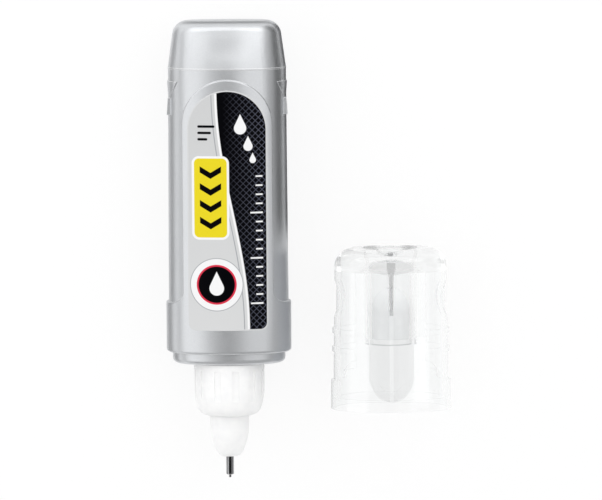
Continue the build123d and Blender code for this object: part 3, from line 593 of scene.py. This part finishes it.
# Grain of the rubber
RUBBER_GRAIN = 0.15 * MM
RUBBER_GRAIN_HEIGHT = 10 * MICRON
RUBBER_ROUGHNESS = (0.62, 0.8)


def gasket_rubber():
    """Dark matt rubber."""
    material = Material("gasket_rubber_matt")
    grain = material.noise(material.place(), RUBBER_GRAIN, detail=3.0)
    material.set(
        {
            "Base Color": material.mix(grain, RUBBER_DARK, RUBBER_LIGHT),
            "Roughness": grain.ramp(*NOISE_SPREAD, *RUBBER_ROUGHNESS),
            "Normal": material.bump(grain, RUBBER_GRAIN_HEIGHT, strength=0.5),
        }
    )
    material.dress("neck_gasket")


# Label print, in millimetres: across from the middle of the label, along from its end nearest the tip
PRINT_SOFTNESS = 0.05
LABEL_MARGIN = 0.28
LABEL_CORNER = 1.7
WAVE_MIDDLE = 1.0
WAVE_REACH = 3.5
PINSTRIPE = 0.5
PINSTRIPE_GAP = 0.45
PINSTRIPE_FINE = 0.2
LATTICE_PITCH = 1.38
LATTICE_LINE = 0.13
LATTICE_START = -1.0
TICK_PITCH = 2.0
TICKS_TO_LONG = 5
TICK_LINE = 0.34
TICK_START = 6.0
TICK_END = 34.0
TICK_OUTER = 7.7
TICK_SHORT = 1.5
TICK_LONG = 2.7
TAG_CENTRE = (-3.7, 29.3)
TAG_HALF = (3.6, 8.7)
TAG_CORNER = 1.1
TAG_OUTLINE = 0.5
CHEVRON_COUNT = 4
CHEVRON_PITCH = 3.7
CHEVRON_LINE = 1.35
CHEVRON_HALF = 2.35
CHEVRON_SLOPE = 0.6
BADGE_CENTRE = (-2.5, 10.2)
BADGE_RADIUS = 5.7
BADGE_RIM = 0.16
BADGE_RING = 1.3
BADGE_LINE = 0.4
BADGE_DROP_RADIUS = 1.6
BADGE_DROP_HEIGHT = 3.7
DROPS = ((2.9, 44.6, 1.35), (4.6, 40.6, 1.0), (5.6, 37.6, 0.7))
DROP_SHARPNESS = 2.3
BARS = ((-4.6, 45.0, 1.9), (-5.0, 43.6, 1.5), (-5.4, 42.2, 1.1))
BAR_LINE = 0.55

# Film of the label
FILM_GRAIN = 0.4 * MM
FILM_GRAIN_HEIGHT = 3 * MICRON
FILM_ROUGHNESS = (0.4, 0.48)


class Print(Material):
    """The label's print: flat shapes over each other, each a signed distance, negative inside."""

    def __init__(self, name):
        super().__init__(name)
        low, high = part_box("front_label")
        self.half_width = (high.x - low.x) / 2 / MM
        self.height = (high.y - low.y) / MM
        x, y = self.axes(self.place())[:2]
        self.u = (x - (low.x + high.x) / 2) / MM
        self.v = (y - low.y) / MM
        self.colour = PRINT_PALE

    def lay(self, distance, colour, share=None):
        """Prints a colour where the distance is below 0, thinned by the share."""
        mask = distance.ramp(PRINT_SOFTNESS, -PRINT_SOFTNESS)
        if share is not None:
            mask = mask * share
        self.colour = self.mix(mask, self.colour, colour)

    def rounded_box(self, centre, half, corner):
        across = abs(self.u - centre[0]) - (half[0] - corner)
        along = abs(self.v - centre[1]) - (half[1] - corner)
        outside = self.length(across.most(0.0), along.most(0.0))
        return outside + across.most(along).least(0.0) - corner

    def disc(self, centre, radius):
        return self.length(self.u - centre[0], self.v - centre[1]) - radius

    def drop(self, centre, radius, height):
        """Drop whose point is the height above its round centre."""
        sine = radius / height
        cosine = math.sqrt(1 - sine * sine)
        along = self.v - centre[1]
        sides = abs(self.u - centre[0]) * cosine + (along - height) * sine
        return self.disc(centre, radius).least(sides.most(radius * sine - along))

    def chevron(self, centre):
        """Bent bar that points towards the tip."""
        across = abs(self.u - centre[0])
        bend = abs(self.v - centre[1] - across * CHEVRON_SLOPE) - CHEVRON_LINE / 2
        return bend.most(across - CHEVRON_HALF)

    def outline(self):
        """The label's own edge: an arch at one end and two round corners at the other."""
        arch_start = self.height - self.half_width
        arch = self.length(self.u, (self.v - arch_start).most(0.0)) - self.half_width
        foot = self.rounded_box((0.0, self.height), (self.half_width, self.height), LABEL_CORNER)
        return arch.most(foot)


def draw_field(label):
    """Pale side, dark side with a diamond lattice, and the wave with its stripes between them."""
    wave = (label.v * (math.pi / label.height)).cosine() * WAVE_REACH + WAVE_MIDDLE
    beyond = wave - label.u
    edge = label.outline() + LABEL_MARGIN
    label.lay(edge, PRINT_GREY, share=label.v.ramp(0.0, label.height))
    label.lay(beyond.most(edge), PRINT_BLACK)
    fade = label.u.ramp(LATTICE_START, label.half_width)
    for slant in (label.u + label.v, label.u - label.v):
        line = slant.ping_pong(LATTICE_PITCH / 2) - LATTICE_LINE
        label.lay(line.most(beyond).most(edge), PRINT_LATTICE, share=fade)
    stripe = abs(beyond) - PINSTRIPE / 2
    label.lay(stripe.most(edge), PRINT_WHITE)
    fine = abs(beyond - (PINSTRIPE + PINSTRIPE_GAP)) - PINSTRIPE_FINE / 2
    label.lay(fine.most(edge), PRINT_RIM)


def draw_scale(label):
    """Plain ticks along the dark side, every fifth one longer."""
    span = abs(label.v - (TICK_START + TICK_END) / 2) - (TICK_END - TICK_START) / 2 - TICK_LINE / 2
    from_start = label.v - TICK_START
    for pitch, length in ((TICK_PITCH, TICK_SHORT), (TICK_PITCH * TICKS_TO_LONG, TICK_LONG)):
        tick = from_start.ping_pong(pitch / 2) - TICK_LINE / 2
        reach = abs(label.u - (TICK_OUTER - length / 2)) - length / 2
        label.lay(tick.most(reach).most(span), PRINT_WHITE)


def draw_tag(label):
    """Yellow tag with a white outline and chevrons towards the tip."""
    tag = label.rounded_box(TAG_CENTRE, TAG_HALF, TAG_CORNER)
    label.lay(tag - TAG_OUTLINE, PRINT_WHITE)
    label.lay(tag, PRINT_YELLOW)
    for number in range(CHEVRON_COUNT):
        along = TAG_CENTRE[1] + (number - (CHEVRON_COUNT - 1) / 2) * CHEVRON_PITCH - CHEVRON_LINE / 2
        label.lay(label.chevron((TAG_CENTRE[0], along)), PRINT_BLACK)


def draw_badge(label):
    """White ring and a red line round a dark disc with a drop in it."""
    disc = label.disc(BADGE_CENTRE, BADGE_RADIUS)
    label.lay(disc - BADGE_RIM, PRINT_RIM)
    label.lay(disc, PRINT_WHITE)
    label.lay(disc + BADGE_RING, PRINT_RED)
    label.lay(disc + BADGE_RING + BADGE_LINE, PRINT_BLACK)
    drop_centre = (BADGE_CENTRE[0], BADGE_CENTRE[1] - BADGE_DROP_RADIUS / 2)
    label.lay(label.drop(drop_centre, BADGE_DROP_RADIUS, BADGE_DROP_HEIGHT), PRINT_WHITE)


def draw_small_marks(label):
    """Three falling drops on the dark side and three plain bars on the pale side."""
    for across, along, radius in DROPS:
        label.lay(label.drop((across, along), radius, radius * DROP_SHARPNESS), PRINT_WHITE)
    for across, along, half in BARS:
        label.lay(label.rounded_box((across, along), (half, BAR_LINE / 2), BAR_LINE / 2), PRINT_BLACK)


def printed_label():
    """Printed film with a satin coat."""
    label = Print("printed_label_film")
    draw_field(label)
    draw_scale(label)
    draw_tag(label)
    draw_badge(label)
    draw_small_marks(label)
    film = label.noise(label.place(), FILM_GRAIN, detail=3.0)
    label.set(
        {
            "Base Color": label.colour,
            "Roughness": film.ramp(*NOISE_SPREAD, *FILM_ROUGHNESS),
            "Specular IOR Level": 0.03,
            "Normal": label.bump(film, FILM_GRAIN_HEIGHT, strength=0.4),
        }
    )
    label.dress("front_label")


def spring_coil():
    """The spring as its own piece with its own mesh, held by the pen, in place of the imported spring."""
    coil = bpy.data.objects.new("spring_coil", nodes["valve_spring"].data.copy())
    bpy.context.scene.collection.objects.link(coil)
    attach(coil, "pen")
    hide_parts("valve_spring")
    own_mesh(coil)


def pale_floor():
    """White sweep. It shows nearly white, with the shadow of the object through that."""
    bpy.ops.mesh.primitive_plane_add(size=2 * FLOOR_HALF, location=(0, 0, cad_low.z - FLOOR_DROP))
    floor = bpy.context.object
    floor.name = "floor"
    material = Material("pale_floor")
    paper = material.noise(material.place(), PAPER_GRAIN, detail=3.0)
    material.set(
        {
            "Base Color": FLOOR_COLOUR,
            "Roughness": paper.ramp(*NOISE_SPREAD, *FLOOR_ROUGHNESS),
            "Specular IOR Level": 0.0,
        }
    )
    glow = material.add("ShaderNodeEmission")
    seen = material.path("Is Camera Ray", "Is Transmission Ray") * FLOOR_GLOW
    mirrored = material.path("Is Glossy Ray") * FLOOR_MIRROR_GLOW
    choice = material.choose(seen.most(mirrored), material.surface, glow)
    material.feed(material.output.inputs["Surface"], choice.outputs[0])
    floor.data.materials.append(material.owner)


def mirror_card(name, low, high, fade, colour):
    """Flat or upright card between two corners. Mirror images show it, but not through clear plastic."""
    mesh = bpy.data.meshes.new(name)
    corners = (low, (high[0], low[1], high[2]), high, (low[0], high[1], low[2]))
    mesh.from_pydata(corners, [], [(0, 1, 2, 3)])
    card = bpy.data.objects.new(name, mesh)
    bpy.context.scene.collection.objects.link(card)
    material = Material(name)
    place = material.place()
    along = material.axes(place)[1]
    paper = material.noise(place, PAPER_GRAIN, detail=3.0)
    outside = material.math("LESS_THAN", material.path("Transmission Depth"), CARD_PASSES)
    material.set(
        {
            "Base Color": colour,
            "Roughness": paper.ramp(*NOISE_SPREAD, *CARD_ROUGHNESS),
            "Specular IOR Level": 0.0,
            "Alpha": along.ramp(low[1], low[1] + fade) * outside,
        }
    )
    card.data.materials.append(material.owner)
    card.visible_camera = False
    card.visible_diffuse = False
    card.visible_transmission = False
    card.visible_shadow = False


def soft_box(name, across, angles, length, shift, level):
    """Long light whose face fills the angles given, in degrees from straight up, for the object."""
    start, end = (math.radians(angle) for angle in angles)
    middle = (start + end) / 2
    width = 2 * BOX_DISTANCE * math.tan((end - start) / 2)
    light = bpy.data.lights.new(name, "AREA")
    light.shape = "RECTANGLE"
    light.energy = level * math.pi * width * length
    box = bpy.data.objects.new(name, light)
    if across == "X":
        light.size, light.size_y = width, length
        direction = Vector((math.sin(middle), 0, math.cos(middle)))
        box.location = direction * BOX_DISTANCE + Vector((0, shift, 0))
        box.rotation_euler = (0, middle, 0)
    else:
        light.size, light.size_y = length, width
        direction = Vector((0, math.sin(middle), math.cos(middle)))
        box.location = direction * BOX_DISTANCE + Vector((shift, 0, 0))
        box.rotation_euler = (-middle, 0, 0)
    box.visible_camera = False
    bpy.context.scene.collection.objects.link(box)


def studio_room():
    """Grey room round the soft boxes, lighter on the left and at the rear, with a dark gap overhead.

    The camera sees white.
    """
    world = bpy.data.worlds.new("studio_room")
    bpy.context.scene.world = world
    room = Shader(world)
    x, y, z = room.axes(room.add("ShaderNodeTexCoord").outputs["Generated"])
    side = x.ramp(-1.0, 1.0, ROOM_LEFT, ROOM_RIGHT)
    height = z.ramp(*ROOM_CLIMB)
    from_gap = room.length(x / GAP_REACH[0], (y - GAP_CENTRE_Y) / GAP_REACH[1])
    level = (side + (ROOM_OVERHEAD - side) * height) * from_gap.ramp(*GAP_EDGE, GAP_LEVEL, 1.0)
    level = level * y.ramp(*ROOM_REAR)
    level = level.most(room.path("Is Transmission Ray") * ROOM_THROUGH)
    level = level.most(room.path("Is Diffuse Ray") * x.ramp(-1.0, 1.0, *ROOM_FILL))
    background = room.nodes["Background"]
    background.inputs["Color"].default_value = ROOM_COLOUR
    room.feed(background.inputs["Strength"], level.most(room.path("Is Camera Ray")))


def photo_camera():
    """Camera at the angle of the photo, turned about the point that it aims at."""
    camera = bpy.data.cameras.new("camera")
    camera.sensor_width = SENSOR_WIDTH
    camera.lens = FOCAL_LENGTH_PIXELS / IMAGE_WIDTH_PIXELS * SENSOR_WIDTH
    holder = bpy.data.objects.new("camera", camera)
    bpy.context.scene.collection.objects.link(holder)
    tilt = Matrix.Rotation(-CAMERA_TILT, 4, "X")
    back = tilt @ Vector((0, 0, CAMERA_DISTANCE))
    roll = Matrix.Rotation(CAMERA_ROLL, 4, "Z")
    holder.matrix_world = Matrix.Translation(CAMERA_AIM + back) @ tilt @ roll
    bpy.context.scene.camera = holder


silver_plastic()
printed_label()
white_plastic("white_plastic_satin", WHITE_SATIN, ("nozzle_collar", "nozzle_cone"))
white_plastic("white_plastic_plain", WHITE_PLAIN, ("needle_head", "spring_retainer"))
steel("steel_drawn", DRAWN_OUT, STEEL_TUBE, ("tip_tube", "valve_needle"))
steel("steel_spring", EVEN, STEEL_WIRE, ("valve_spring",))
steel("steel_ball", EVEN, STEEL_BALL, ("mixing_ball_front", "mixing_ball_rear"))
clear_plastic()
milky_plastic()
gasket_rubber()
spring_coil()
pale_floor()
for card in CARDS:
    mirror_card(*card)
for box in SOFT_BOXES:
    soft_box(*box)
studio_room()
photo_camera()
bpy.context.scene.view_settings.view_transform = "Standard"
